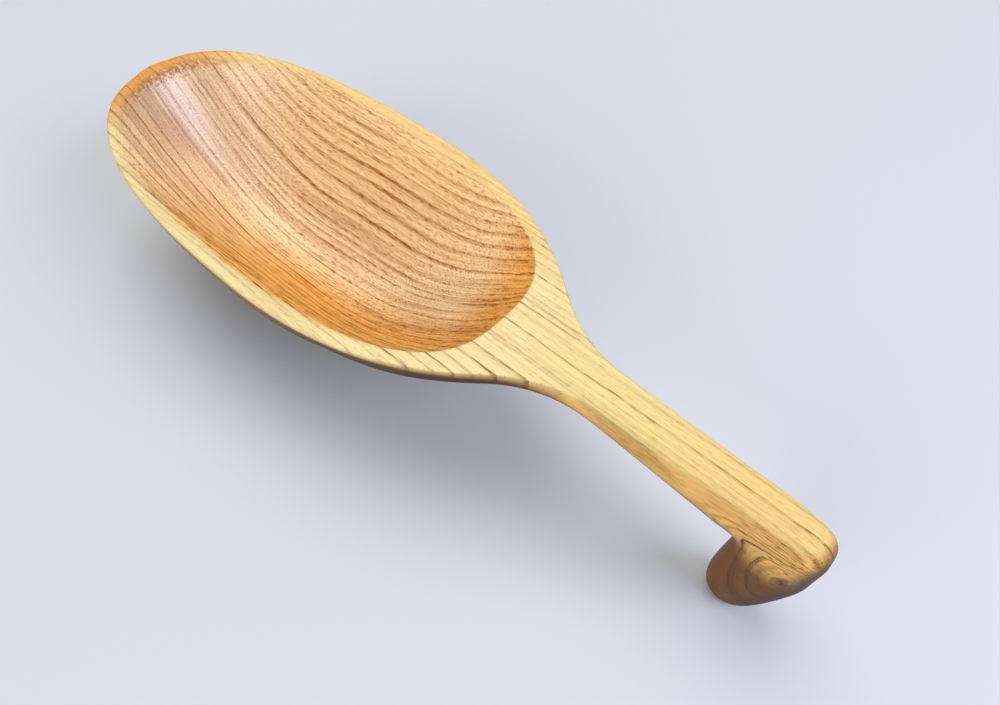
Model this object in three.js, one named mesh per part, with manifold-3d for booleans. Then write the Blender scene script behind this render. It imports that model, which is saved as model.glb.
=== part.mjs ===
// A wooden dipping ladle: an egg-shaped bowl, a neck, a short handle and a hook turned down to the table.
// It is carved from one thick plank, whose flat top is the rim, the neck and the top of the handle.
// The solids meet on upright planes across the grain.
// Millimetres; +X runs from bowl to hook, +Z up from the table, origin under the middle of the length.
import * as THREE from 'three';
import Module from 'manifold-3d';

const wasm = await Module();
wasm.setup();

// Bowl, outside
const BOWL_LENGTH = 250;
const BOWL_WIDTH = 120.2;
const BOWL_WIDEST_FROM_TIP = 137.5;
const TIP_ROUNDNESS = 2.4;
const SHOULDER_SLOPE = -0.82;
const KEEL_FROM_TIP = 92;
const KEEL_LENGTH = 43;
const BASE_CUT = 7;
const BOW_FULLNESS = 2.1;
const BOW_RISE = 0.62;
const STERN_SLOPE = -0.26;
const HULL_FLARE = 1.55;
const HULL_BILGE = 0.68;
const SQUARING_BEFORE_NECK = 66;

// Bowl, hollow
const BOWL_DEPTH = 67;
const BOWL_FLOOR = 8;
const RIM_AT_TIP = 6.5;
const RIM_AT_SIDE = 6;
const RIM_AT_NECK = 11;
const DEEPEST_FROM_TIP = 115.5;
const LIP_ROUNDNESS_TIP = 2.25;
const LIP_ROUNDNESS_NECK = 2.75;
const TIP_WALL_POWER = 2.6;
const NECK_WALL_POWER = 2;
const SIDE_SHOULDER = 0.55;

// Neck
const NECK_LENGTH = 40;
const NECK_WIDTH = 50.6;
const NECK_THICKNESS = 14.7;

// Handle
const HANDLE_LENGTH = 52;
const HANDLE_WIDTH_AT_NECK = 18.8;
const HANDLE_WIDTH_AT_HOOK = 16.4;
const HANDLE_THICKNESS_AT_NECK = 16.6;
const HANDLE_THICKNESS_AT_HOOK = 27;
const HANDLE_SQUARENESS = 4.5;
const HANDLE_BILGE = 0.5;
const HANDLE_CROWN = 0.6;
const TOP_EDGE_RADIUS = 2;

// Hook
const HOOK_ROOT = 5.8;
const HOOK_INSIDE_RADIUS = 3;
const HOOK_LENGTH = 29.2;
const HOOK_WIDTH = 20.4;
const HOOK_CORNER = 7;
const HOOK_OVAL = 2;
const HOOK_LEAN_INSIDE = 2.6;
const HOOK_LEAN_OUTSIDE = 8.6;
const HOOK_LEAN_ONSET = 0.15;
const FOOT_SHARE = 0.36;
const FOOT_ROUNDNESS = 4;

// Facets
const NOSE = 0.3;
const NARROWEST = 0.4;
const EDGE_SAMPLE = 0.3;
const EDGE_LIMIT = 1 / 3;
const LIP_OVERRUN = 0.04;
const LID_RISE = 8;
const FLANK_STEPS = 14;
const BOW_STATIONS = 22;
const STERN_STATIONS = 24;
const NECK_STATIONS = 10;
const HANDLE_STATIONS = 7;
const ELBOW_STATIONS = 14;
const LEG_STATIONS = 12;
const LIP_POINTS = 80;
const HOLLOW_RINGS = 14;

// Places worked out from the sizes
const HEIGHT = BOWL_DEPTH + BOWL_FLOOR;
const NECK_END = BOWL_LENGTH + NECK_LENGTH;
const HANDLE_END = NECK_END + HANDLE_LENGTH;
const PIVOT_X = HANDLE_END + HOOK_ROOT;
const PIVOT_DROP = HANDLE_THICKNESS_AT_HOOK + HOOK_INSIDE_RADIUS;
const LENGTH = PIVOT_X + HOOK_INSIDE_RADIUS + HOOK_LENGTH;
const KEEL_DROP = HEIGHT + BASE_CUT;

const lerp = THREE.MathUtils.lerp;
const smooth = THREE.MathUtils.smoothstep;

// Quarter of a superellipse: 1 at u = 0, falling to 0 at u = 1
function roundOff(u, power, root = power) {
  return Math.pow(Math.max(1 - Math.pow(u, power), 0), 1 / root);
}

// Cubic from (x0, a) to (x1, b) that leaves and arrives at the given slopes
function ease(x, x0, x1, a, b, slopeA, slopeB) {
  const w = x1 - x0;
  const t = (x - x0) / w;
  const rise = t * t * (3 - 2 * t);
  return lerp(a, b, rise) + w * (slopeA * t * (1 - t) ** 2 - slopeB * t * t * (1 - t));
}

const neckTaper = (HANDLE_WIDTH_AT_HOOK - HANDLE_WIDTH_AT_NECK) / 2 / HANDLE_LENGTH;
const handleDeepening = (HANDLE_THICKNESS_AT_HOOK - HANDLE_THICKNESS_AT_NECK) / HANDLE_LENGTH;

// Half width of the flat top at a distance from the tip
function topHalfWidth(x) {
  const wide = BOWL_WIDTH / 2;
  const neck = NECK_WIDTH / 2;
  const handle = HANDLE_WIDTH_AT_NECK / 2;
  if (x < BOWL_WIDEST_FROM_TIP) {
    const u = 1 - Math.max(x, NOSE) / BOWL_WIDEST_FROM_TIP;
    return wide * roundOff(u, TIP_ROUNDNESS);
  }
  if (x < BOWL_LENGTH) {
    return ease(x, BOWL_WIDEST_FROM_TIP, BOWL_LENGTH, wide, neck, 0, SHOULDER_SLOPE);
  }
  if (x < NECK_END) {
    return ease(x, BOWL_LENGTH, NECK_END, neck, handle, SHOULDER_SLOPE, neckTaper);
  }
  return handle + neckTaper * (x - NECK_END);
}

// How far the underside lies below the flat top, before the base is planed flat
function drop(x) {
  const keelEnd = KEEL_FROM_TIP + KEEL_LENGTH;
  if (x < KEEL_FROM_TIP) {
    const u = 1 - Math.max(x, NOSE) / KEEL_FROM_TIP;
    return KEEL_DROP * roundOff(u, BOW_FULLNESS, 1 / BOW_RISE);
  }
  if (x < keelEnd) {
    return KEEL_DROP;
  }
  if (x < BOWL_LENGTH) {
    return ease(x, keelEnd, BOWL_LENGTH, KEEL_DROP, NECK_THICKNESS, 0, STERN_SLOPE);
  }
  if (x < NECK_END) {
    const b = HANDLE_THICKNESS_AT_NECK;
    return ease(x, BOWL_LENGTH, NECK_END, NECK_THICKNESS, b, STERN_SLOPE, handleDeepening);
  }
  return HANDLE_THICKNESS_AT_NECK + handleDeepening * (x - NECK_END);
}

// Half width at a depth below the top: a flared hull under the bowl, a square flank under the handle
function halfWidth(x, depth) {
  const full = drop(x);
  const share = Math.min(depth / full, 1);
  const handle = smooth(x, BOWL_LENGTH - SQUARING_BEFORE_NECK, NECK_END);
  const flare = lerp(HULL_FLARE, HANDLE_SQUARENESS, handle);
  const bilge = lerp(HULL_BILGE, HANDLE_BILGE, handle);
  const flank = topHalfWidth(x) * Math.pow(1 - Math.pow(share, flare), bilge);
  const edge = edgeRadius(x);
  const under = Math.max(edge - depth, 0);
  const rounding = edge - Math.sqrt(edge * edge - under * under);
  return Math.max(flank + handle * HANDLE_CROWN * Math.sin(Math.PI * share) - rounding, 0);
}

function edgeRadius(x) {
  return Math.min(TOP_EDGE_RADIUS, EDGE_LIMIT * drop(x), EDGE_LIMIT * topHalfWidth(x));
}

// Depths at which a cross-section is sampled, from the top edge to the keel
function sampleDepths(x) {
  const full = drop(x);
  const edge = edgeRadius(x);
  const depths = [0, EDGE_SAMPLE * edge];
  for (let i = 0; i <= FLANK_STEPS; i++) {
    depths.push(edge + (full - edge) * Math.sin((Math.PI / 2) * (i / FLANK_STEPS)));
  }
  return depths;
}

// Closed ring from a list of [x, half width, z], down one side and up the other
function mirrorRing(side) {
  const keel = side[side.length - 1];
  const flank = side.slice(0, -1);
  const near = flank.map(([x, y, z]) => new THREE.Vector3(x, -y, z));
  const far = flank.map(([x, y, z]) => new THREE.Vector3(x, y, z)).reverse();
  return [...near, new THREE.Vector3(keel[0], 0, keel[2]), ...far];
}

function crossSection(x) {
  const side = sampleDepths(x).map((depth) => [x, halfWidth(x, depth), Math.max(HEIGHT - depth, 0)]);
  return mirrorRing(side);
}

function middle(points) {
  const sum = points.reduce((total, p) => total.add(p), new THREE.Vector3());
  return sum.divideScalar(points.length);
}

// Closed skin over rings of equal count, with a fan over the first and the last
function loft(rings, first = middle(rings[0]), last = middle(rings[rings.length - 1])) {
  const count = rings[0].length;
  const points = [...rings.flat(), first, last];
  const index = [];
  const end = (rings.length - 1) * count;
  for (let j = 0; j < count; j++) {
    const next = (j + 1) % count;
    for (let a = 0; a < end; a += count) {
      const b = a + count;
      index.push(a + j, b + next, b + j, a + j, a + next, b + next);
    }
    index.push(points.length - 2, next, j, points.length - 1, end + j, end + next);
  }
  const geometry = new THREE.BufferGeometry().setFromPoints(points);
  geometry.setIndex(index);
  return geometry;
}

function spread(from, to, count) {
  return Array.from({ length: count + 1 }, (_, i) => lerp(from, to, i / count));
}

// Stations bunch up at the tip, where the outline turns fastest
function bowlStations() {
  const bow = spread(0, 1, BOW_STATIONS).map((t) => KEEL_FROM_TIP * t * t);
  const stern = spread(KEEL_FROM_TIP, BOWL_LENGTH, STERN_STATIONS);
  return [...bow, ...stern.slice(1)];
}

// Lip of the hollow, seen from above: two superellipse halves that meet at the deepest point
function lipAt(angle) {
  const c = Math.cos(angle);
  const s = Math.sin(angle);
  const towardsTip = c < 0;
  const power = towardsTip ? LIP_ROUNDNESS_TIP : LIP_ROUNDNESS_NECK;
  const reach = towardsTip ? DEEPEST_FROM_TIP - RIM_AT_TIP : BOWL_LENGTH - RIM_AT_NECK - DEEPEST_FROM_TIP;
  const out = Math.pow(Math.abs(c) ** power + Math.abs(s) ** power, -1 / power);
  return [reach * out * c, (BOWL_WIDTH / 2 - RIM_AT_SIDE) * out * s];
}

// Hollow's depth at a share r of the way from the deepest point to the lip
function hollowDepth(r, angle) {
  const tip = Math.max(-Math.cos(angle), 0) ** 2;
  const power = lerp(NECK_WALL_POWER, TIP_WALL_POWER, tip);
  const shoulder = SIDE_SHOULDER * Math.sin(angle) ** 2;
  return BOWL_DEPTH * (1 - r ** power) * (1 - shoulder * r * r);
}

function hollowRing(r) {
  return spread(0, 2 * Math.PI, LIP_POINTS).slice(0, -1).map((angle) => {
    const [x, y] = lipAt(angle);
    return new THREE.Vector3(DEEPEST_FROM_TIP + r * x, r * y, HEIGHT - hollowDepth(r, angle));
  });
}

// Solid that is carved out of the bowl; its last ring stands clear above the rim
function hollowPlug() {
  const shares = spread(0, 1, HOLLOW_RINGS).slice(1);
  const above = 1 + LIP_OVERRUN;
  const rings = [...shares, above].map(hollowRing);
  const deepest = new THREE.Vector3(DEEPEST_FROM_TIP, 0, BOWL_FLOOR);
  const lid = new THREE.Vector3(DEEPEST_FROM_TIP, 0, HEIGHT + LID_RISE);
  return loft(rings, deepest, lid);
}

function solid(geometry) {
  const vertProperties = new Float32Array(geometry.attributes.position.array);
  const triVerts = new Uint32Array(geometry.index.array);
  return new wasm.Manifold(new wasm.Mesh({ numProp: 3, vertProperties, triVerts }));
}

function geometryOf(body) {
  const mesh = body.getMesh();
  const geometry = new THREE.BufferGeometry();
  geometry.setAttribute('position', new THREE.BufferAttribute(mesh.vertProperties, 3));
  geometry.setIndex(new THREE.BufferAttribute(mesh.triVerts, 1));
  return geometry;
}

function bowl() {
  const hull = loft(bowlStations().map(crossSection));
  return geometryOf(solid(hull).subtract(solid(hollowPlug())));
}

function neck() {
  return loft(spread(BOWL_LENGTH, NECK_END, NECK_STATIONS).map(crossSection));
}

function handle() {
  return loft(spread(NECK_END, HANDLE_END, HANDLE_STATIONS).map(crossSection));
}

// Half width of the hook's oval at a share of its length, 0 at the inner face and 1 at the outer end
function ovalHalfWidth(share) {
  return (HOOK_WIDTH / 2) * roundOff(Math.abs(2 * share - 1), HOOK_OVAL);
}

// Shares of the hook's section, outer end first, matching the samples of the handle's section
function hookShares() {
  const full = drop(HANDLE_END);
  return sampleDepths(HANDLE_END).map((depth) => 1 - depth / full);
}

// Section in a plane that turns about the pivot: the handle's section becomes the hook's oval
function elbowSection(angle) {
  const up = Math.cos(angle);
  const out = Math.sin(angle);
  const reachX = LENGTH - PIVOT_X;
  const squareness = (out / reachX) ** HOOK_CORNER + (up / PIVOT_DROP) ** HOOK_CORNER;
  const corner = squareness ** (-1 / HOOK_CORNER);
  const turn = smooth(angle, 0, Math.PI / 2);
  const full = drop(HANDLE_END);
  const side = hookShares().map((share) => {
    const radius = lerp(HOOK_INSIDE_RADIUS, corner, share);
    const flank = halfWidth(HANDLE_END, (1 - share) * full);
    const y = Math.max(lerp(flank, ovalHalfWidth(share), turn), NARROWEST);
    return [PIVOT_X + radius * out, y, HEIGHT - PIVOT_DROP + radius * up];
  });
  return mirrorRing(side);
}

// Share of the leg's lean at a share of the way down: upright at first, then straight
function leanShare(share) {
  const soft = HOOK_LEAN_ONSET;
  return (Math.hypot(share, soft) - soft) / (Math.hypot(1, soft) - soft);
}

// Level section of the leg at a share of the way down from the pivot to the table
function legSection(share) {
  const size = lerp(FOOT_SHARE, 1, roundOff(share, FOOT_ROUNDNESS));
  const inner = PIVOT_X + HOOK_INSIDE_RADIUS - HOOK_LEAN_INSIDE * leanShare(share);
  const outer = LENGTH - HOOK_LEAN_OUTSIDE * leanShare(share);
  const z = lerp(HEIGHT - PIVOT_DROP, 0, share);
  const side = hookShares().map((s) => {
    const x = (inner + outer) / 2 + size * (outer - inner) * (s - 0.5);
    return [x, Math.max(size * ovalHalfWidth(s), NARROWEST), z];
  });
  return mirrorRing(side);
}

function hook() {
  const root = crossSection(HANDLE_END);
  const elbow = spread(0, Math.PI / 2, ELBOW_STATIONS).map(elbowSection);
  const leg = spread(0, 1, LEG_STATIONS).slice(1).map((t) => legSection(Math.sin((Math.PI / 2) * t)));
  return loft([root, ...elbow, ...leg]);
}

// The same timber throughout, in the tone that each stretch shows
function timber(name, geometry, colour) {
  const material = new THREE.MeshStandardMaterial({ color: colour, roughness: 0.5, metalness: 0 });
  const mesh = new THREE.Mesh(geometry, material);
  mesh.name = name;
  mesh.position.x = -LENGTH / 2;
  return mesh;
}

const ladle = new THREE.Group();
ladle.add(timber('bowl', bowl(), '#dfa55f'));
ladle.add(timber('neck', neck(), '#f0d793'));
ladle.add(timber('handle', handle(), '#e8c882'));
ladle.add(timber('hook', hook(), '#b98b55'));

export default ladle;
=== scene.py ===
"""Looks of a carved wooden ladle: closed surfaces, an oiled ring-porous wood, floor, light and camera."""
import math

import bpy
import numpy as np
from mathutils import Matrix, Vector


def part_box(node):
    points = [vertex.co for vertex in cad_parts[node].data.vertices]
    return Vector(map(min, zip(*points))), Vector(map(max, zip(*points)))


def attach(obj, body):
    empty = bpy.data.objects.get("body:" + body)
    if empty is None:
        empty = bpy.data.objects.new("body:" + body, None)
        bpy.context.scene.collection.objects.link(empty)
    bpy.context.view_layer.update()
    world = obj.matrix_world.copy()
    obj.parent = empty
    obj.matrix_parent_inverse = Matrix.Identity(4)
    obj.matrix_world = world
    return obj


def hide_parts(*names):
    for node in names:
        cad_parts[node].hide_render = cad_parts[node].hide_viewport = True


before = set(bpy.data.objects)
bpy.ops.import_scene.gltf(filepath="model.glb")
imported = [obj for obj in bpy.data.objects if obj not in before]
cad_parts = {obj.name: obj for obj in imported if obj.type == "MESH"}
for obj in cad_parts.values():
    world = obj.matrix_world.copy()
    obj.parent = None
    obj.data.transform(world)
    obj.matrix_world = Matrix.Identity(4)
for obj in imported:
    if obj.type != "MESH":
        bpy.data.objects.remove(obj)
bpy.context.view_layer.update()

# Sizes are in millimetres, and places along the ladle are from the bowl's tip. A roundness, fullness, rise,
# flare, bilge, squareness, corner, oval or power is an exponent. A slope is a ratio. A share, limit, onset or
# the side's shoulder is a fraction.
MM = 1000.0
TIP_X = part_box("bowl")[0].x * MM
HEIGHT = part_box("bowl")[1].z * MM
NECK_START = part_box("neck")[0].x * MM - TIP_X
HANDLE_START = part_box("handle")[0].x * MM - TIP_X
HOOK_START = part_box("hook")[0].x * MM - TIP_X
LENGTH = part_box("hook")[1].x * MM - TIP_X

# Bowl, outside
BOWL_HALF_WIDTH = 60.1
WIDEST_FROM_TIP = 137.5
TIP_ROUNDNESS = 2.4
SHOULDER_SLOPE = -0.82
KEEL_FROM_TIP = 92.0
KEEL_LENGTH = 43.0
BASE_CUT = 7.0
BASE_EDGE = 1.0
BOW_FULLNESS = 2.1
BOW_RISE = 0.62
STERN_SLOPE = -0.26
HULL_FLARE = 1.55
HULL_BILGE = 0.68
SQUARING_BEFORE_NECK = 66.0

# Bowl, hollow
BOWL_FLOOR = 8.0
RIM_AT_TIP = 6.5
RIM_AT_SIDE = 6.0
RIM_AT_NECK = 11.0
DEEPEST_FROM_TIP = 115.5
LIP_ROUNDNESS_TIP = 2.25
LIP_ROUNDNESS_NECK = 2.75
TIP_WALL_POWER = 2.6
NECK_WALL_POWER = 2.0
SIDE_SHOULDER = 0.55
LIP_SOFT_AT_SIDE = 2.4
LIP_SOFT_AT_NECK = 0.22
LIP_SOFTENS_FROM = math.radians(38)
LIP_SOFT_BY = math.radians(80)

# Neck and handle
NECK_HALF_WIDTH = 25.3
NECK_THICKNESS = 14.7
HANDLE_HALF_WIDTH_AT_NECK = 9.4
HANDLE_HALF_WIDTH_AT_HOOK = 8.2
HANDLE_THICKNESS_AT_NECK = 16.6
HANDLE_THICKNESS_AT_HOOK = 27.0
HANDLE_SQUARENESS = 4.5
HANDLE_BILGE = 0.5
HANDLE_CROWN = 0.6

# Radius of the top edge: soft round the bowl, crisp at the neck, rubbed soft where the hand closes
EDGE_AT_TIP = 2.2
EDGE_AT_NECK = 0.9
EDGE_AT_HANDLE = 1.0
EDGE_AT_HOOK = 2.6
EDGE_LIMIT = 1 / 3

# Hook
HOOK_ROOT = 5.8
HOOK_INSIDE_RADIUS = 3.0
HOOK_HALF_WIDTH = 10.2
HOOK_CORNER = 7.0
HOOK_OVAL = 2.0
HOOK_LEAN_INSIDE = 2.6
HOOK_LEAN_OUTSIDE = 8.6
HOOK_LEAN_ONSET = 0.15
FOOT_SHARE = 0.36
FOOT_ROUNDNESS = 4.0

# How finely the surfaces are sampled; rows of the hollow and the rim crowd towards the lip
BOW_STATIONS = 120
STERN_STATIONS = 90
NECK_STATIONS = 60
HANDLE_STATIONS = 60
ROOT_STATIONS = 8
ELBOW_STATIONS = 60
LEG_STATIONS = 60
HOLLOW_ROWS = 64
RIM_ROWS = 14
EDGE_ROWS = 10
FLANK_ROWS = 44
TOP_POINTS = 48
HOLLOW_CROWDING = 2
RIM_CROWDING = 1.5

# Corners that agree to this many digits of a metre are one; edges that turn more than this stay crisp
WELD_DIGITS = 8
CRISP_EDGE = math.radians(50)

# Places worked out from the sizes
KEEL_DROP = HEIGHT + BASE_CUT
BOWL_DEPTH = HEIGHT - BOWL_FLOOR
PIVOT_X = HOOK_START + HOOK_ROOT
PIVOT_Z = HEIGHT - HANDLE_THICKNESS_AT_HOOK - HOOK_INSIDE_RADIUS
HANDLE_LENGTH = HOOK_START - HANDLE_START
TAPER = (HANDLE_HALF_WIDTH_AT_HOOK - HANDLE_HALF_WIDTH_AT_NECK) / HANDLE_LENGTH
DEEPENING = (HANDLE_THICKNESS_AT_HOOK - HANDLE_THICKNESS_AT_NECK) / HANDLE_LENGTH


def mix(a, b, share):
    """a where share is 0, b where it is 1."""
    return a + (b - a) * share


def smooth(x, low, high):
    """Smoothstep: 0 below low, 1 above high, level at both ends."""
    t = np.clip((x - low) / (high - low), 0, 1)
    return t * t * (3 - 2 * t)


def round_off(u, power, root=None):
    """Quarter of a superellipse: the root-th root of 1 - u^power, 1 at u = 0 and 0 at u = 1."""
    return np.maximum(1 - np.clip(u, 0, 1) ** power, 0) ** (1 / (root or power))


def ease(x, x0, x1, a, b, slope_a, slope_b):
    """Cubic from (x0, a) to (x1, b) that leaves and arrives at the given slopes."""
    width = x1 - x0
    t = (x - x0) / width
    return mix(a, b, t * t * (3 - 2 * t)) + width * (slope_a * t * (1 - t) ** 2 - slope_b * t * t * (1 - t))


def top_half_width(x):
    """Half width of the flat top: a superellipse round the tip, cubic shoulder and neck, straight taper."""
    tip = BOWL_HALF_WIDTH * round_off(1 - x / WIDEST_FROM_TIP, TIP_ROUNDNESS)
    shoulder = ease(x, WIDEST_FROM_TIP, NECK_START, BOWL_HALF_WIDTH, NECK_HALF_WIDTH, 0, SHOULDER_SLOPE)
    neck = ease(
        x, NECK_START, HANDLE_START, NECK_HALF_WIDTH, HANDLE_HALF_WIDTH_AT_NECK, SHOULDER_SLOPE, TAPER
    )
    handle = HANDLE_HALF_WIDTH_AT_NECK + TAPER * (x - HANDLE_START)
    return np.select([x < WIDEST_FROM_TIP, x < NECK_START, x < HANDLE_START], [tip, shoulder, neck], handle)


def drop(x):
    """How far the keel lies below the top: rising bow, level keel, cubic stern and neck, straight handle."""
    keel_end = KEEL_FROM_TIP + KEEL_LENGTH
    bow = KEEL_DROP * round_off(1 - x / KEEL_FROM_TIP, BOW_FULLNESS, 1 / BOW_RISE)
    stern = ease(x, keel_end, NECK_START, KEEL_DROP, NECK_THICKNESS, 0, STERN_SLOPE)
    neck = ease(
        x, NECK_START, HANDLE_START, NECK_THICKNESS, HANDLE_THICKNESS_AT_NECK, STERN_SLOPE, DEEPENING
    )
    handle = HANDLE_THICKNESS_AT_NECK + DEEPENING * (x - HANDLE_START)
    places = [x < KEEL_FROM_TIP, x < keel_end, x < NECK_START, x < HANDLE_START]
    return np.select(places, [bow, KEEL_DROP, stern, neck], handle)


def edge_radius(x):
    """Radius of the rounded top edge, never more than a third of the section's width or depth."""
    places = [0, WIDEST_FROM_TIP, NECK_START, HANDLE_START, HOOK_START]
    radii = [EDGE_AT_TIP, EDGE_AT_TIP, EDGE_AT_NECK, EDGE_AT_HANDLE, EDGE_AT_HOOK]
    limit = EDGE_LIMIT * np.minimum(drop(x), top_half_width(x))
    return np.minimum(np.interp(x, places, radii), limit)


def flank(x, slope, start_z):
    """One side of the cross-sections at stations x, from the top edge to the keel.

    First a quarter circle, turned in the plan along the outline's normal, then the flank: the top's half
    width times (1 - share^flare)^bilge, which goes from a flared hull under the bowl to a square flank on the
    handle. Below the table it is cut off by (z + sqrt(z^2 + edge^2)) / 2, which leaves the planed base.
    Returns an array of stations by rows by (x, half width, z).
    """
    x = x[:, None]
    full = drop(x)
    edge = edge_radius(x)
    turn = np.linspace(0, np.pi / 2, EDGE_ROWS)[None, :-1]
    run = np.sin(np.linspace(0, np.pi / 2, FLANK_ROWS))[None, :]
    depth = np.concatenate([edge * (1 - np.cos(turn)), edge + (full - edge) * run], axis=1)
    inset = np.concatenate([edge * (1 - np.sin(turn)), 0 * run * edge], axis=1)
    share = np.clip(depth / np.maximum(full, 1e-9), 0, 1)
    squared = smooth(x, NECK_START - SQUARING_BEFORE_NECK, HANDLE_START)
    flare = mix(HULL_FLARE, HANDLE_SQUARENESS, squared)
    bilge = mix(HULL_BILGE, HANDLE_BILGE, squared)
    half = top_half_width(x) * np.maximum(1 - share**flare, 0) ** bilge
    half = half + squared * HANDLE_CROWN * np.sin(np.pi * share)
    steep = 1 / np.sqrt(1 + slope[:, None] ** 2)
    half = np.maximum(half - inset * steep, 0)
    half[:, -1] = 0
    along = x + inset * slope[:, None] * steep
    low = HEIGHT - full
    z = start_z[:, None] - share * (start_z[:, None] - low)
    z = (z + np.sqrt(z * z + BASE_EDGE**2)) / 2
    return np.stack([along, half, z], axis=-1)


def lip_share(x, y):
    """(share of the way from the deepest point to the lip, angle round it) of a point in the plan.

    The lip is two superellipse halves that meet abreast of the deepest point.
    """
    towards_tip = x < DEEPEST_FROM_TIP
    reach = np.where(towards_tip, DEEPEST_FROM_TIP - RIM_AT_TIP, NECK_START - RIM_AT_NECK - DEEPEST_FROM_TIP)
    power = np.where(towards_tip, LIP_ROUNDNESS_TIP, LIP_ROUNDNESS_NECK)
    a = (x - DEEPEST_FROM_TIP) / reach
    b = y / (BOWL_HALF_WIDTH - RIM_AT_SIDE)
    share = (np.abs(a) ** power + np.abs(b) ** power) ** (1 / power)
    return share, np.arctan2(b, a)


def bowl_top(x, y):
    """Height of the rim and hollow over the plan.

    The hollow's depth is a power of the share of the way to its lip, with a shoulder on the long sides. It
    meets the flat rim by softplus, c ln(1 + exp(depth / c)), with c small at the neck and large at the sides.
    """
    share, angle = lip_share(x, y)
    power = mix(NECK_WALL_POWER, TIP_WALL_POWER, np.maximum(-np.cos(angle), 0) ** 2)
    shoulder = SIDE_SHOULDER * np.sin(angle) ** 2
    depth = BOWL_DEPTH * (1 - share**power) * (1 - shoulder * share**2)
    soft = mix(LIP_SOFT_AT_NECK, LIP_SOFT_AT_SIDE, smooth(np.abs(angle), LIP_SOFTENS_FROM, LIP_SOFT_BY))
    return HEIGHT - soft * np.logaddexp(0, depth / soft)


def outline_slope(x):
    """Slope of the top's outline in the plan, d(half width) / dx, held finite at the tip."""
    step = 1e-3
    return (top_half_width(x + step) - top_half_width(np.maximum(x - step, 0))) / (2 * step)


def mirrored(side, sign):
    """A side's (x, half width, z) with the half width as y, on the side that sign names."""
    return side * np.array([1.0, sign, 1.0])


def grid_faces(grid, closed=False):
    """Corners of a grid's quads as triangles; a closed grid joins its last column to its first."""
    if closed:
        grid = np.concatenate([grid, grid[:1]], axis=0)
    a, b, c, d = grid[:-1, :-1], grid[1:, :-1], grid[1:, 1:], grid[:-1, 1:]
    return np.concatenate([np.stack(t, -2).reshape(-1, 3, 3) for t in ((a, b, c), (a, c, d))])


def fan(ring, centre):
    """Triangles from a centre to a closed ring."""
    following = np.roll(ring, -1, axis=0)
    return np.stack([np.broadcast_to(centre, ring.shape), ring, following], axis=1)


def piece(name, triangles):
    """Object of a closed mesh in metres: shared corners welded, slivers dropped, faces turned outwards."""
    corners = (triangles.reshape(-1, 3) + [TIP_X, 0, 0]) / MM
    _, first, index = np.unique(
        np.round(corners, WELD_DIGITS), axis=0, return_index=True, return_inverse=True
    )
    index = index.reshape(-1, 3)
    whole = (index != np.roll(index, 1, axis=1)).all(axis=1)
    index = index[whole]
    places = corners[first]
    a, b, c = (places[index[:, k]] for k in range(3))
    volume = np.einsum("ij,ij->", a, np.cross(b, c))
    if volume < 0:
        index = index[:, ::-1]
    mesh = bpy.data.meshes.new(name)
    mesh.from_pydata(places, [], index)
    mesh.shade_smooth()
    mesh.set_sharp_from_angle(angle=CRISP_EDGE)
    made = bpy.data.objects.new(name, mesh)
    bpy.context.collection.objects.link(made)
    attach(made, "root")
    return made


def level_flank(x):
    """One side of the cross-sections at stations x where the top is level."""
    return flank(x, outline_slope(x), np.full_like(x, HEIGHT))


def rings_of(side):
    """Rings from one side's rows: a level line across the top, the near side down, the far side up."""
    near, far = mirrored(side, -1), mirrored(side, 1)
    across = np.linspace(0, 1, TOP_POINTS)[None, 1:-1, None]
    top = mix(far[:, :1], near[:, :1], across)
    return np.concatenate([top, near, far[:, -2::-1]], axis=1)


def lofted(rings):
    """Skin over closed rings, capped at both ends by a fan from the middle of the end ring."""
    skin = grid_faces(rings.transpose(1, 0, 2), closed=True)
    first = fan(rings[0][::-1], rings[0].mean(axis=0))
    last = fan(rings[-1], rings[-1].mean(axis=0))
    return np.concatenate([skin[:, ::-1], first[:, ::-1], last[:, ::-1]])


def grip_surface(start, end, stations):
    """Neck or handle: closed cross-sections at even stations from start to end, joined by a skin."""
    return lofted(rings_of(level_flank(np.linspace(start, end, stations))))


def bowl_stations():
    """Stations from tip to neck: evenly turned round the superellipse tip, then evenly spaced."""
    turn = np.linspace(0, np.pi / 2, BOW_STATIONS)
    bow = WIDEST_FROM_TIP * (1 - np.cos(turn) ** (2 / TIP_ROUNDNESS))
    stern = np.linspace(WIDEST_FROM_TIP, NECK_START, STERN_STATIONS)
    return np.concatenate([bow, stern[1:]])


def hollow_rows(edge):
    """Points from the deepest point out to the rim's inner edge of rounding, crowded at the lip."""
    share, _ = lip_share(edge[:, 0], edge[:, 1])
    at_lip = 1 / share[:, None]
    inner = at_lip * (1 - (1 - np.linspace(0, 1, HOLLOW_ROWS)) ** HOLLOW_CROWDING)
    outer = mix(at_lip, 1.0, np.linspace(0, 1, RIM_ROWS)[1:] ** RIM_CROWDING)
    t = np.concatenate([inner, outer], axis=1)
    x = mix(DEEPEST_FROM_TIP, edge[:, :1], t)
    y = edge[:, 1:2] * t
    return np.stack([x, y, bowl_top(x, y)], axis=-1)


def bowl_surface():
    """Hollow, rim and hull as one sheet of columns round the bowl, closed at the neck by a flat end."""
    x = bowl_stations()
    slope = outline_slope(x)
    level = level_flank(x)
    start = bowl_top(level[:, 0, 0], level[:, 0, 1])
    side = flank(x, slope, start)
    near, far = mirrored(side, -1)[::-1], mirrored(side, 1)
    hull = np.concatenate([near, far[1:]])
    top = hollow_rows(hull[:, 0])
    sheet = np.concatenate([top, hull[:, 1:]], axis=1)
    across = np.linspace(0, 1, TOP_POINTS)[:, None]
    sill = hollow_rows(mix(far[-1, 0], near[0, 0], across))
    end = rings_of(level_flank(np.array([NECK_START])))[0]
    return np.concatenate([grid_faces(sheet), grid_faces(sill), fan(end, end.mean(axis=0))])


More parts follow.
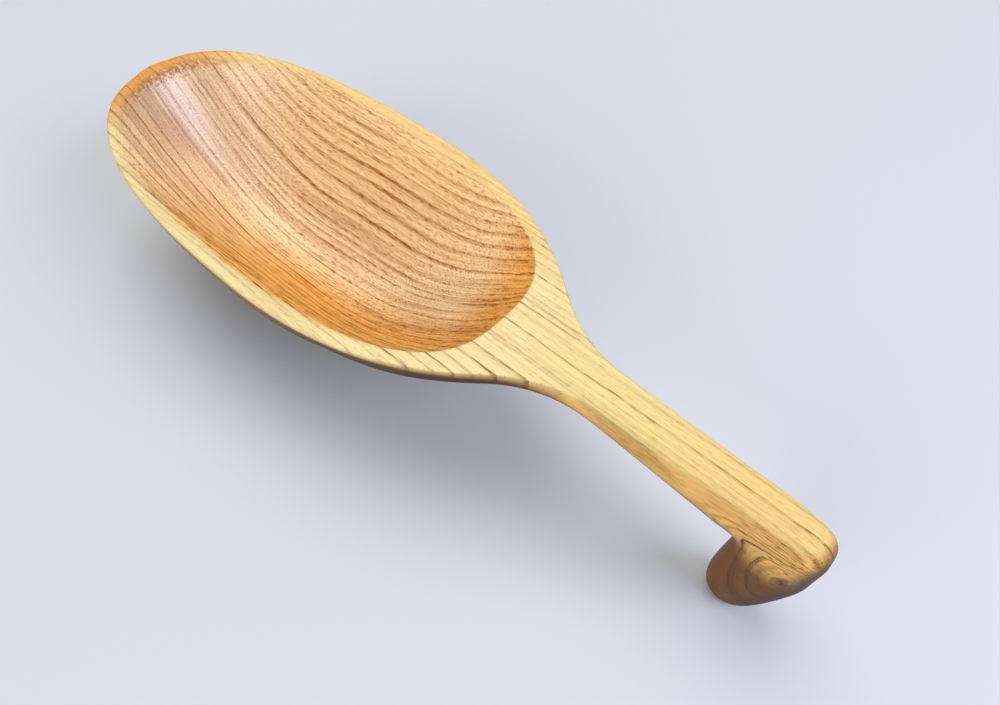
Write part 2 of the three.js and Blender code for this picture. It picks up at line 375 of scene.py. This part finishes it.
def oval(share):
    """Half width of the hook's oval section, share 0 at its inner face and 1 at its outer end."""
    return HOOK_HALF_WIDTH * round_off(np.abs(2 * share - 1), HOOK_OVAL)


def lean_share(fall):
    """Share of the leg's lean at a share of its fall: sqrt(fall^2 + onset^2) - onset, made 1 at the foot."""
    whole = math.hypot(1, HOOK_LEAN_ONSET) - HOOK_LEAN_ONSET
    return (np.hypot(fall, HOOK_LEAN_ONSET) - HOOK_LEAN_ONSET) / whole


def hook_surface():
    """Hook: the handle's section carried to a pivot, turned about it while it becomes an oval, then let down.

    The outer side of the turn is a superellipse corner. The leg leans in, tapers and rounds off at its foot.
    """
    start, width, height = level_flank(np.array([HOOK_START]))[0].T
    share = (height - height[-1]) / (HEIGHT - height[-1])
    slide = np.linspace(0, 1, ROOT_STATIONS)[:-1, None]
    root = np.stack(np.broadcast_arrays(mix(start, PIVOT_X, slide), width, height), axis=-1)

    angle = np.linspace(0, np.pi / 2, ELBOW_STATIONS)[:, None]
    out, up = np.sin(angle), np.cos(angle)
    squareness = (out / (LENGTH - PIVOT_X)) ** HOOK_CORNER + (up / (HEIGHT - PIVOT_Z)) ** HOOK_CORNER
    radius = mix(HOOK_INSIDE_RADIUS, squareness ** (-1 / HOOK_CORNER), share)
    half = mix(width, oval(share), smooth(angle, 0, np.pi / 2))
    elbow = np.stack([PIVOT_X + radius * out, half, PIVOT_Z + radius * up], axis=-1)

    fall = np.sin(np.linspace(0, np.pi / 2, LEG_STATIONS))[1:, None]
    size = mix(FOOT_SHARE, 1.0, round_off(fall, FOOT_ROUNDNESS))
    inner = PIVOT_X + HOOK_INSIDE_RADIUS - HOOK_LEAN_INSIDE * lean_share(fall)
    outer = LENGTH - HOOK_LEAN_OUTSIDE * lean_share(fall)
    x = (inner + outer) / 2 + size * (outer - inner) * (share - 0.5)
    leg = np.stack(np.broadcast_arrays(x, size * oval(share), mix(PIVOT_Z, 0.0, fall)), axis=-1)

    return lofted(rings_of(np.concatenate([root, elbow, leg])))


def linear(hex_colour):
    """sRGB hex to linear RGBA."""
    srgb = np.array([int(hex_colour[i : i + 2], 16) for i in (1, 3, 5)]) / 255
    rgb = np.where(srgb <= 0.04045, srgb / 12.92, ((srgb + 0.055) / 1.055) ** 2.4)
    return (*rgb.tolist(), 1.0)


def add(tree, kind, inputs=None, output=0, **settings):
    """Adds a node with its settings, links the inputs given a socket, sets the others, returns one output."""
    node = tree.nodes.new(kind)
    for name, value in settings.items():
        setattr(node, name, value)
    for name, value in (inputs or {}).items():
        if isinstance(value, bpy.types.NodeSocket):
            tree.links.new(value, node.inputs[name])
        else:
            node.inputs[name].default_value = value
    return node.outputs[output]


def new_material(name):
    """Material with a Principled surface; returns it with its shader."""
    made = bpy.data.materials.new(name)
    made.use_nodes = True
    return made, made.node_tree.nodes["Principled BSDF"]


# Places in the wood are millimetres from the ladle's middle: along from tip to hook, across from near to far.
# Growth lines lie at these places across, each with how dark it is.
GROWTH_LINES = (
    (-57.0, 0.45), (-53.0, 0.50), (-50.0, 0.70), (-45.5, 0.55), (-41.0, 0.90), (-36.0, 0.70), (-31.5, 1.00),
    (-26.8, 0.65), (-21.8, 1.00), (-16.0, 1.00), (-11.5, 0.35), (-9.4, 0.45), (-8.0, 0.60), (-5.6, 0.45),
    (-3.2, 0.30), (0.1, 0.95), (5.6, 0.45), (10.1, 0.75), (12.8, 0.65), (15.5, 0.60), (18.2, 0.50),
    (21.7, 0.25), (24.8, 0.90), (30.0, 0.60), (34.2, 0.60), (38.0, 0.65), (40.7, 0.55), (43.6, 0.50),
    (46.3, 0.40), (51.0, 0.55), (55.5, 0.35),
)

# Each line darkens slowly through the latewood before it and clears quickly in the earlywood after it
LATEWOOD = 1.6
EARLYWOOD = 0.35

# A power narrows the lines, and the figure between them is weaker on the planed top, partly as painted sheen,
# than where it is carved
LINE_POWER_ON_TOP = 1.5
LINE_POWER_CARVED = 1.1
FIGURE_ON_TOP = 0.5
FIGURE_CARVED = 1.0
FIGURE_LOST_ON_HULL = 0.75

# The layers sway round a place along the bowl. They bulge round a crook in the hook, which draws arcs there.
SWAY_ALONG = -55.0
CROOK_ALONG = 187.0
CROOK_HEIGHT = 52.3
CROOK_FLATNESS = 0.65

# A stain inside the tip, which also carries painted shade, and the way that the surfaces darkened as painted
# shade face: down, and towards the hook
STAIN_PLACE = (-172, -13, 0)
UNDERSIDE_FACING = (0.6, 0, -0.8)

# Zones of the wood: what tells each, where it begins, where it is full, and its share or reach when full
ZONES = {
    "sway": ("from_sway", 65.0, 0.0, -1.5),
    "crook": ("from_crook", 42.0, 0.0, -18.5),
    "below_edge": ("height", HEIGHT - 6.0, HEIGHT - 16.0, 1.0),
    "below_top": ("height", HEIGHT - 0.8, HEIGHT - 4.0, 1.0),
    # Painted shade: the outside darkens lower down
    "low": ("height", HEIGHT - 12.0, HEIGHT - 34.0, 1.0),
    "hook": ("along", 152.0, 164.0, 1.0),
    "grip": ("along", 30.0, 90.0, 1.0),
    "golden": ("along", 40.0, 170.0, 1.0),
    # Painted shade and warm bounced light: the wall at the neck is deeper orange
    "neck_wall_shade": ("along", 8.0, 42.0, 1.0),
    "worn": ("along", -105.0, -176.0, 1.0),
    "tip": ("along", -150.0, -187.0, 1.0),
    "far_rim": ("across", 15.0, 55.0, 0.7),
    "polished": ("across", -48.0, -25.0, 1.0),
    # Painted sheen: the far wall is paler and more yellow
    "far_wall_sheen": ("side", 0.2, 0.8, 0.6),
    # Painted shade and warm bounced light: the near wall is deeper orange
    "near_wall_shade": ("side", 0.22, -0.4, 1.0),
    # A stain inside the tip, which also carries painted shade where the tip's wall takes no shine
    "stain": ("from_stain", 22.0, 5.0, 0.42),
    # End grain darkening, which also paints the shade on the hook's end
    "end_grain_and_shade": ("faces_along", 0.2, 0.9, 1.0),
    # Painted shade on the surfaces that face down and towards the hook
    "underside": ("faces_under", 0.0, 0.5, 0.9),
}

# The near wall's orange, painted shade and warm bounced light, fades towards the tip, from full to a share
ORANGE_FULL_ALONG = -70.0
ORANGE_FADED_ALONG = -150.0
ORANGE_AT_TIP = 0.1

# Noise in the wood: size of its grain along, across and up, its detail, the lowest and highest value, and the
# span of noise spread over these. Pores of such wood are about 0.3 mm wide, too fine to show here, so they
# are drawn 0.5 mm wide.
MIDDLE_SPAN = (0.3, 0.7)
DRIFT = ((70, 22, 22), 1, (-0.4, 0.4), MIDDLE_SPAN)
RIPPLE = ((14, 4, 4), 2, (-0.15, 0.15), MIDDLE_SPAN)
FRAY = ((9, 1.2, 1.2), 3, (-0.3, 0.3), MIDDLE_SPAN)
FADE = ((22, 6, 6), 2, (0.4, 1.1), MIDDLE_SPAN)
DASHES = ((5, 0.8, 0.8), 1, (0.4, 1.2), MIDDLE_SPAN)
BLOTCHES = ((25, 3, 25), 3, (0.2, 1.2), MIDDLE_SPAN)
SHEETS = ((90, 0.7, 50), 3, (0.0, 0.36), (0.46, 0.74))
BANDS = ((110, 3, 40), 2, (0.0, 0.30), (0.45, 0.72))
FIBRES = ((18, 0.8, 0.8), 3, (0.0, 0.2), (0.46, 0.74))
FLECKS = ((9, 1.6, 4), 3, (0.0, 0.60), (0.5, 0.70))
PORES = ((4, 0.5, 0.5), 2, (0.0, 0.7), (0.52, 0.74))

# Colours of the wood
# The planed top's pale colour is partly the wood's own and partly a painted sheen
TOP_BY_BOWL = linear("#e9d191")
TOP_BY_HOOK = linear("#e2c177")
TOP_FAR_RIM = linear("#e8bb72")
TOP_TIP = linear("#d8923c")
HULL_SIDE = linear("#94652f")
GRIP_SIDE = linear("#fac268")
# Painted shade: the colour that the outside darkens to lower down
LOW_SIDE_SHADE = linear("#74480f")
# The wood's colour in the hollow, paled on the floor by a painted sheen
HOLLOW_FLOOR_SHEEN = linear("#ffe6b4")
# Painted sheen on the far wall
HOLLOW_FAR_WALL_SHEEN = linear("#f0c683")
# Painted shade and warm bounced light: the deeper orange of the near wall and the wall at the neck
HOLLOW_NEAR_WALL_SHADE = linear("#fab856")
# Lines on the top are paler, partly by painted sheen
LINES_ON_TOP = linear("#86662c")
LINES_OUTSIDE = linear("#4e2e10")
LINES_IN_HOLLOW = linear("#9a5214")
END_GRAIN_AND_SHADE = linear("#7c4c1c")
# Painted shade laid on the outside surfaces that face down and towards the hook
PAINTED_UNDERSIDE_SHADE = linear("#341e0a")
WORN_TIP = linear("#b07c50")
# A stain, with painted shade in it where the tip's wall takes no shine
STAIN_AND_SHADE = linear("#96614c")

# How much of their colour the end grain and the worn tip take; the end grain's darkening also paints the
# shade on the hook's end
END_GRAIN_SHARE = 0.75
END_GRAIN_SHARE_IN_HOLLOW = 0.2
WORN_SHARE = 0.2

# Finish: a satin oiled surface with shallow pores, and a film polished by use inside the tip. The film's IOR
# is above that of oil, about 1.5, so that its soft shine shows as it does on polished wood.
WOOD_ROUGHNESS = 0.5
WOOD_SPECULAR = 0.22
FILM_ROUGHNESS = 0.38
FILM_IOR = 1.75
PORE_RELIEF = 0.25
PORE_DEPTH = 0.0001

# Share of the hollow over which the planed top's colour turns into the carved colour, how ragged that edge
# is, and how near the rim and hollow a point counts as on them
COLOUR_EDGE_AT_NECK = 0.006
COLOUR_EDGE_INSIDE = 0.08
COLOUR_EDGE_OUTSIDE = 0.05
RAGGED_FROM = 0.3
RAGGED_TO = 0.7
SAME_SURFACE = 0.1


def mark_hollow(made):
    """Gives each vertex of the bowl a mark.

    x is 1 inside the lip, y is 1 on the rim and in the hollow, and z runs from -1 at the near lip to 1 at the
    far lip.
    """
    places = np.empty(len(made.data.vertices) * 3)
    made.data.vertices.foreach_get("co", places)
    x, y, z = places.reshape(-1, 3).T * MM
    x = x - TIP_X
    share, angle = lip_share(x, y)
    soft = smooth(np.abs(angle), LIP_SOFTENS_FROM, LIP_SOFT_BY)
    inner = 1 - mix(COLOUR_EDGE_AT_NECK, COLOUR_EDGE_INSIDE, soft)
    inside = 1 - smooth(share, inner, 1 + COLOUR_EDGE_OUTSIDE * soft)
    above = np.abs(z - bowl_top(x, y)) < SAME_SURFACE
    marks = np.stack([inside * above, above, share * np.sin(angle)], axis=-1)
    made.data.attributes.new("hollow", "FLOAT_VECTOR", "POINT").data.foreach_set("vector", marks.ravel())


def stretched_noise(tree, place, noise):
    """Noise with grains of the given sizes in millimetres, a span of its values spread from low to high."""
    grain, detail, (low, high), (span_low, span_high) = noise
    scaled = add(tree, "ShaderNodeMapping", {"Vector": place, "Scale": [1 / size for size in grain]})
    level = add(tree, "ShaderNodeTexNoise", {"Vector": scaled, "Scale": 1.0, "Detail": detail})
    spread = {"Value": level, "From Min": span_low, "From Max": span_high, "To Min": low, "To Max": high}
    return add(tree, "ShaderNodeMapRange", spread)


def laid_over(tree, colour, layers):
    """A colour with others laid over it in turn, each by its share. A Mix node takes colours at 6 and 7."""
    for share, over in layers:
        colour = add(tree, "ShaderNodeMix", {"Factor": share, 6: colour, 7: over}, 2, data_type="RGBA")
    return colour


def wood_measures(tree, place):
    """What the zones are told by: places, marks, distances from a middle, and how the surface faces."""
    along, across, height = (add(tree, "ShaderNodeSeparateXYZ", {0: place}, axis) for axis in "XYZ")
    marks = add(tree, "ShaderNodeAttribute", None, "Vector", attribute_name="hollow")
    inside, above, side = (add(tree, "ShaderNodeSeparateXYZ", {0: marks}, axis) for axis in "XYZ")
    from_sway = add(tree, "ShaderNodeMath", {0: along, 1: SWAY_ALONG}, operation="SUBTRACT")
    from_sway = add(tree, "ShaderNodeMath", {0: from_sway}, operation="ABSOLUTE")
    crook = (-CROOK_ALONG, 0, -CROOK_HEIGHT * CROOK_FLATNESS)
    crook = {"Vector": place, "Location": crook, "Scale": (1, 0, CROOK_FLATNESS)}
    crook = add(tree, "ShaderNodeMapping", crook)
    from_crook = add(tree, "ShaderNodeVectorMath", {0: crook}, "Value", operation="LENGTH")
    plan = add(tree, "ShaderNodeCombineXYZ", {"X": along, "Y": across})
    from_stain = add(tree, "ShaderNodeVectorMath", {0: plan, 1: STAIN_PLACE}, "Value", operation="DISTANCE")
    normal = add(tree, "ShaderNodeNewGeometry", None, "Normal")
    faces_along = add(tree, "ShaderNodeSeparateXYZ", {0: normal}, "X")
    faces_along = add(tree, "ShaderNodeMath", {0: faces_along}, operation="ABSOLUTE")
    under = {0: normal, 1: UNDERSIDE_FACING}
    faces_under = add(tree, "ShaderNodeVectorMath", under, "Value", operation="DOT_PRODUCT")
    return {
        "along": along, "across": across, "height": height, "inside": inside, "above": above, "side": side,
        "from_sway": from_sway, "from_crook": from_crook, "from_stain": from_stain,
        "faces_along": faces_along, "faces_under": faces_under,
    }


def wood_zones(tree, place, measures):
    """A smooth ramp for each zone, and from them the carved zones.

    The hollow has a ragged edge, the outside is what lies below the top and isn't rim or hollow, orange is
    the near wall and the wall at the neck, painted shade and warm bounced light, and carved is the hollow and
    the side of the hook.
    """
    zones = {}
    for name, (measure, begins, full, share) in ZONES.items():
        ramp = {"Value": measures[measure], "From Min": begins, "From Max": full, "To Max": share}
        zones[name] = add(tree, "ShaderNodeMapRange", ramp, interpolation_type="SMOOTHSTEP")

    fray = stretched_noise(tree, place, FRAY)
    hollow = add(tree, "ShaderNodeMath", {0: measures["inside"], 1: fray}, operation="ADD")
    hollow = {"Value": hollow, "From Min": RAGGED_FROM, "From Max": RAGGED_TO}
    hollow = add(tree, "ShaderNodeMapRange", hollow)
    outside = {0: zones["below_top"], 1: measures["above"]}
    outside = add(tree, "ShaderNodeMath", outside, operation="SUBTRACT", use_clamp=True)

    # Orange: painted shade and warm bounced light on the near wall and the wall at the neck
    orange = {0: zones["near_wall_shade"], 1: zones["neck_wall_shade"]}
    orange = add(tree, "ShaderNodeMath", orange, operation="MAXIMUM")
    faded = {"Value": measures["along"], "From Min": ORANGE_FADED_ALONG, "From Max": ORANGE_FULL_ALONG}
    faded = add(tree, "ShaderNodeMapRange", {**faded, "To Min": ORANGE_AT_TIP})
    orange = add(tree, "ShaderNodeMath", {0: orange, 1: faded}, operation="MULTIPLY")
    orange = add(tree, "ShaderNodeMath", {0: orange, 1: hollow}, operation="MULTIPLY")
    carved = add(tree, "ShaderNodeMath", {0: zones["hook"], 1: outside, 2: hollow}, operation="MULTIPLY_ADD")
    return {**zones, "hollow": hollow, "outside": outside, "orange": orange, "carved": carved}


def growth_layer(tree, place, measures, zones):
    """Place across the growth layers: upright planes that sway, drift, ripple, and bulge in the hook."""
    layer = add(tree, "ShaderNodeMath", {0: measures["across"], 1: zones["sway"]}, operation="ADD")
    for wander in (DRIFT, RIPPLE):
        moved = stretched_noise(tree, place, wander)
        layer = add(tree, "ShaderNodeMath", {0: layer, 1: moved}, operation="ADD")
    bulge = {0: zones["below_edge"], 1: zones["crook"], 2: layer}
    return add(tree, "ShaderNodeMath", bulge, operation="MULTIPLY_ADD")


def growth_lines(tree, layer, carved):
    """Darkness of the lines: a smooth rise through each latewood times a quick fall, summed, to a power."""
    lines = 0.0
    for line, darkness in GROWTH_LINES:
        late = {"Value": layer, "From Min": line - LATEWOOD, "From Max": line}
        early = {"Value": layer, "From Min": line + EARLYWOOD, "From Max": line}
        late = add(tree, "ShaderNodeMapRange", late, interpolation_type="SMOOTHERSTEP")
        early = add(tree, "ShaderNodeMapRange", early, interpolation_type="SMOOTHSTEP")
        both = add(tree, "ShaderNodeMath", {0: late, 1: early}, operation="MULTIPLY")
        lines = add(tree, "ShaderNodeMath", {0: both, 1: darkness, 2: lines}, operation="MULTIPLY_ADD")
    power = {"Value": carved, "To Min": LINE_POWER_ON_TOP, "To Max": LINE_POWER_CARVED}
    power = add(tree, "ShaderNodeMapRange", power)
    return add(tree, "ShaderNodeMath", {0: lines, 1: power}, operation="POWER")


def figure(tree, place, layer, layered, zones):
    """How dark the wood's figure is, from 0 to 1.

    Lines that fade along their length and break into dashes, plus thin sheets and wider bands that follow the
    layers, fibres, flecks in the orange walls, and pores. It is weaker on the hull.
    """
    fade = stretched_noise(tree, place, FADE)
    dashes = stretched_noise(tree, place, DASHES)
    fade = add(tree, "ShaderNodeMath", {0: fade, 1: dashes}, operation="MULTIPLY")
    flecks = stretched_noise(tree, layered, FLECKS)
    between = add(tree, "ShaderNodeMath", {0: flecks, 1: zones["orange"]}, operation="MULTIPLY")
    for follows, noise in ((layered, SHEETS), (layered, BANDS), (place, FIBRES), (place, PORES)):
        more = stretched_noise(tree, follows, noise)
        between = add(tree, "ShaderNodeMath", {0: between, 1: more}, operation="ADD")
    share = {"Value": zones["carved"], "To Min": FIGURE_ON_TOP, "To Max": FIGURE_CARVED}
    share = add(tree, "ShaderNodeMapRange", share)
    between = add(tree, "ShaderNodeMath", {0: between, 1: share}, operation="MULTIPLY")
    amount = {0: growth_lines(tree, layer, zones["carved"]), 1: fade, 2: between}
    amount = add(tree, "ShaderNodeMath", amount, operation="MULTIPLY_ADD", use_clamp=True)
    lost = {"Value": zones["grip"], "To Min": FIGURE_LOST_ON_HULL, "To Max": 0.0}
    lost = add(tree, "ShaderNodeMapRange", lost)
    lost = add(tree, "ShaderNodeMath", {0: lost, 1: zones["outside"]}, operation="MULTIPLY")
    left = add(tree, "ShaderNodeMath", {0: 1.0, 1: lost}, operation="SUBTRACT")
    return add(tree, "ShaderNodeMath", {0: amount, 1: left}, operation="MULTIPLY")


def wood_colour(tree, layered, amount, zones):
    """Pale and dark colours of the top, the outside and the hollow, mixed by the figure.

    Over them lie the end grain, which drinks more oil and whose darkening also paints the shade on the hook's
    end, painted shade on the surfaces that face down and towards the hook, the worn tip, and a stain in it
    that also carries painted shade.
    """
    hollow, outside = zones["hollow"], zones["outside"]
    top = ((zones["golden"], TOP_BY_HOOK), (zones["far_rim"], TOP_FAR_RIM), (zones["tip"], TOP_TIP))
    top = laid_over(tree, TOP_BY_BOWL, top)
    # The outside's colour, with painted shade lower down
    flank_colour = laid_over(tree, HULL_SIDE, ((zones["grip"], GRIP_SIDE), (zones["low"], LOW_SIDE_SHADE)))
    # The hollow: floor and far wall paled by painted sheen, the orange walls painted shade and warm bounced
    # light
    inside = ((zones["far_wall_sheen"], HOLLOW_FAR_WALL_SHEEN), (zones["orange"], HOLLOW_NEAR_WALL_SHADE))
    inside = laid_over(tree, HOLLOW_FLOOR_SHEEN, inside)
    pale = laid_over(tree, top, ((outside, flank_colour), (hollow, inside)))
    dark = laid_over(tree, LINES_ON_TOP, ((outside, LINES_OUTSIDE), (hollow, LINES_IN_HOLLOW)))

    most = {"Value": hollow, "To Min": END_GRAIN_SHARE, "To Max": END_GRAIN_SHARE_IN_HOLLOW}
    most = add(tree, "ShaderNodeMapRange", most)
    # End grain darkening, with painted shade on the hook's end
    soaked_and_shaded = add(tree, "ShaderNodeMath", {0: zones["end_grain_and_shade"], 1: most}, operation="MULTIPLY")
    # Painted shade on the outside surfaces that face down and towards the hook
    under = add(tree, "ShaderNodeMath", {0: zones["underside"], 1: outside}, operation="MULTIPLY")
    worn = add(tree, "ShaderNodeMath", {0: zones["worn"], 1: hollow}, operation="MULTIPLY")
    worn = add(tree, "ShaderNodeMath", {0: worn, 1: WORN_SHARE}, operation="MULTIPLY")
    # The stain, which also carries painted shade
    stain = add(tree, "ShaderNodeMath", {0: zones["stain"], 1: hollow}, operation="MULTIPLY")
    blotches = stretched_noise(tree, layered, BLOTCHES)
    stain = add(tree, "ShaderNodeMath", {0: stain, 1: blotches}, operation="MULTIPLY")
    over = ((amount, dark), (soaked_and_shaded, END_GRAIN_AND_SHADE), (under, PAINTED_UNDERSIDE_SHADE), (worn, WORN_TIP), (stain, STAIN_AND_SHADE))
    return laid_over(tree, pale, over)


def oiled_wood():
    """Ring-porous wood, sanded and oiled.

    Upright growth layers along the block darken to a line and clear quickly after it, with thinner sheets
    between. Pores show as fine dashes along the fibres and as dots where the fibres are cut across. Such end
    grain also drinks more oil and is darker, and its darkening also paints the shade on the hook's end. The
    planed top is pale and dry, made paler still and its figure fainter by a painted sheen, and what is carved
    below it is deeper in colour.
    """
    made, shader = new_material("oiled ring-porous wood")
    tree = made.node_tree
    place = add(tree, "ShaderNodeTexCoord", output="Object")
    place = add(tree, "ShaderNodeVectorMath", {0: place, "Scale": MM}, operation="SCALE")
    measures = wood_measures(tree, place)
    zones = wood_zones(tree, place, measures)
    layer = growth_layer(tree, place, measures, zones)
    layered = {"X": measures["along"], "Y": layer, "Z": measures["height"]}
    layered = add(tree, "ShaderNodeCombineXYZ", layered)
    amount = figure(tree, place, layer, layered, zones)
    tree.links.new(wood_colour(tree, layered, amount, zones), shader.inputs["Base Color"])

    film = add(tree, "ShaderNodeMath", {0: zones["polished"], 1: zones["hollow"]}, operation="MULTIPLY")
    film = add(tree, "ShaderNodeMath", {0: film, 1: zones["worn"]}, operation="MULTIPLY")
    tree.links.new(film, shader.inputs["Coat Weight"])
    relief = {"Height": amount, "Strength": PORE_RELIEF, "Distance": PORE_DEPTH}
    tree.links.new(add(tree, "ShaderNodeBump", relief, invert=True), shader.inputs["Normal"])
    shader.inputs["Coat Roughness"].default_value = FILM_ROUGHNESS
    shader.inputs["Coat IOR"].default_value = FILM_IOR
    shader.inputs["Roughness"].default_value = WOOD_ROUGHNESS
    shader.inputs["Specular IOR Level"].default_value = WOOD_SPECULAR
    return made


# Floor
FLOOR_REACH = 2.0
FLOOR_COLOUR = linear("#c4c6c8")
FLOOR_ROUGHNESS = 0.7


def pale_floor():
    """Matt laminate: an even pale grey without shine, so that the ladle's shadow is all that shows on it."""
    made, shader = new_material("pale matt laminate")
    shader.inputs["Base Color"].default_value = FLOOR_COLOUR
    shader.inputs["Roughness"].default_value = FLOOR_ROUGHNESS
    return made


bowl = piece("carved_bowl", bowl_surface())
neck = piece("carved_neck", grip_surface(NECK_START, HANDLE_START, NECK_STATIONS))
handle = piece("carved_handle", grip_surface(HANDLE_START, HOOK_START, HANDLE_STATIONS))
hook = piece("carved_hook", hook_surface())
mark_hollow(bowl)
wood = oiled_wood()
for made, node in ((bowl, "bowl"), (neck, "neck"), (handle, "handle"), (hook, "hook")):
    made.data.materials.append(wood)
    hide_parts(node)

floor_corners = np.array([(-1, -1, 0), (1, -1, 0), (1, 1, 0), (-1, 1, 0)]) * FLOOR_REACH
floor_mesh = bpy.data.meshes.new("floor")
floor_mesh.from_pydata(floor_corners, [], [(0, 1, 2, 3)])
floor_mesh.materials.append(pale_floor())
floor = bpy.data.objects.new("floor", floor_mesh)
bpy.context.collection.objects.link(floor)

# Camera at the photograph's place
CAMERA_PLACE = Vector((0.15917, -0.12761, 0.29947))
CAMERA_LOOK = Vector((-0.3707, 0.4206, -0.8281))
CAMERA_LENS = 26.28
CAMERA_CLIP = 0.01
lens = bpy.data.cameras.new("camera")
lens.lens = CAMERA_LENS
lens.clip_start = CAMERA_CLIP
camera = bpy.data.objects.new("camera", lens)
camera.location = CAMERA_PLACE
camera.rotation_euler = CAMERA_LOOK.to_track_quat("-Z", "Y").to_euler()
bpy.context.collection.objects.link(camera)
bpy.context.scene.camera = camera

# Soft studio light: a dim white dome, a large lamp overhead, one low on the near side, and a smaller cool one
# beyond the hook, whose shine shows inside the bowl's tip. Each lamp has its place, size, power and tint.
DOME_STRENGTH = 0.38
DOME_COLOUR = linear("#ffffff")
LAMPS = (
    ("softbox", Vector((-0.65, 0.40, 2.10)), (1.6, 1.6), 28.5, "#ffffff"),
    ("fill", Vector((-0.30, -2.10, 0.95)), (1.6, 1.6), 24.0, "#ffffff"),
    ("window", Vector((1.50, 0.38, 1.21)), (1.2, 0.9), 29.0, "#d4dfff"),
)
LAMP_AIM = Vector((-0.10, 0.0, 0.05))
for name, place, size, power, tint in LAMPS:
    lamp = bpy.data.lights.new(name, "AREA")
    lamp.shape = "RECTANGLE"
    lamp.size, lamp.size_y = size
    lamp.energy = power
    lamp.color = linear(tint)[:3]
    hung = bpy.data.objects.new(name, lamp)
    hung.location = place
    hung.rotation_euler = (LAMP_AIM - place).to_track_quat("-Z", "Y").to_euler()
    bpy.context.collection.objects.link(hung)

world = bpy.data.worlds.new("dome")
world.use_nodes = True
sky = world.node_tree.nodes["Background"]
sky.inputs["Color"].default_value = DOME_COLOUR
sky.inputs["Strength"].default_value = DOME_STRENGTH
bpy.context.scene.world = world
bpy.context.scene.view_settings.view_transform = "Standard"
